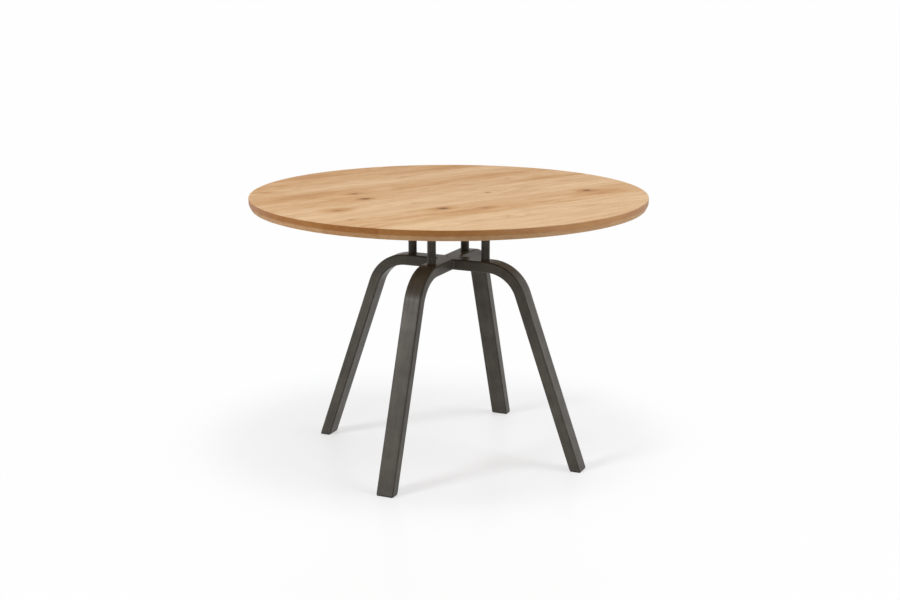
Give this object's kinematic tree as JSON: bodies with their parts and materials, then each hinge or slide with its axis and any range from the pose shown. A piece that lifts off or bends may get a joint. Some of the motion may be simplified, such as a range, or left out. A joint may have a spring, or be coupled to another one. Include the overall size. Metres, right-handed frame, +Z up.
{
  "type": "round dining table",
  "caption": "Round dining table with an edge-glued oak top, undercut at its rim, held by round posts above a welded cross of bent rectangular tube legs with plastic glides.",
  "frame": {"origin": "on the floor, on the axis of the round top", "axes": "+Z up; the four legs point along +X (right in the picture), +Y (back), -X (left) and -Y (front)"},
  "size_m": [1.1, 1.1, 0.75],
  "materials": {
    "oak": "oiled knotty oak",
    "frame_steel": "fine-textured powder coat, dark warm grey",
    "fastener_steel": "zinc plated",
    "insert_brass": "turned",
    "glide_plastic": "moulded black polyethylene"
  },
  "bodies": {
    "root": {"top_stave_1": "oak", "top_stave_2": "oak", "top_stave_3": "oak", "top_stave_4": "oak", "top_stave_5": "oak", "top_stave_6": "oak", "top_stave_7": "oak", "top_stave_8": "oak", "top_stave_9": "oak", "leg_right": "frame_steel", "leg_back": "frame_steel", "leg_left": "frame_steel", "leg_front": "frame_steel", "post_right": "frame_steel", "post_back": "frame_steel", "post_left": "frame_steel", "post_front": "frame_steel", "mounting_plate": "frame_steel", "glide_right": "glide_plastic", "glide_back": "glide_plastic", "glide_left": "glide_plastic", "glide_front": "glide_plastic", "screw_1": "fastener_steel", "screw_2": "fastener_steel", "screw_3": "fastener_steel", "screw_4": "fastener_steel", "screw_5": "fastener_steel", "screw_6": "fastener_steel", "screw_7": "fastener_steel", "screw_8": "fastener_steel", "washer_1": "fastener_steel", "washer_2": "fastener_steel", "washer_3": "fastener_steel", "washer_4": "fastener_steel", "washer_5": "fastener_steel", "washer_6": "fastener_steel", "washer_7": "fastener_steel", "washer_8": "fastener_steel", "insert_1": "insert_brass", "insert_2": "insert_brass", "insert_3": "insert_brass", "insert_4": "insert_brass", "insert_5": "insert_brass", "insert_6": "insert_brass", "insert_7": "insert_brass", "insert_8": "insert_brass"}
  },
  "joints": []
}
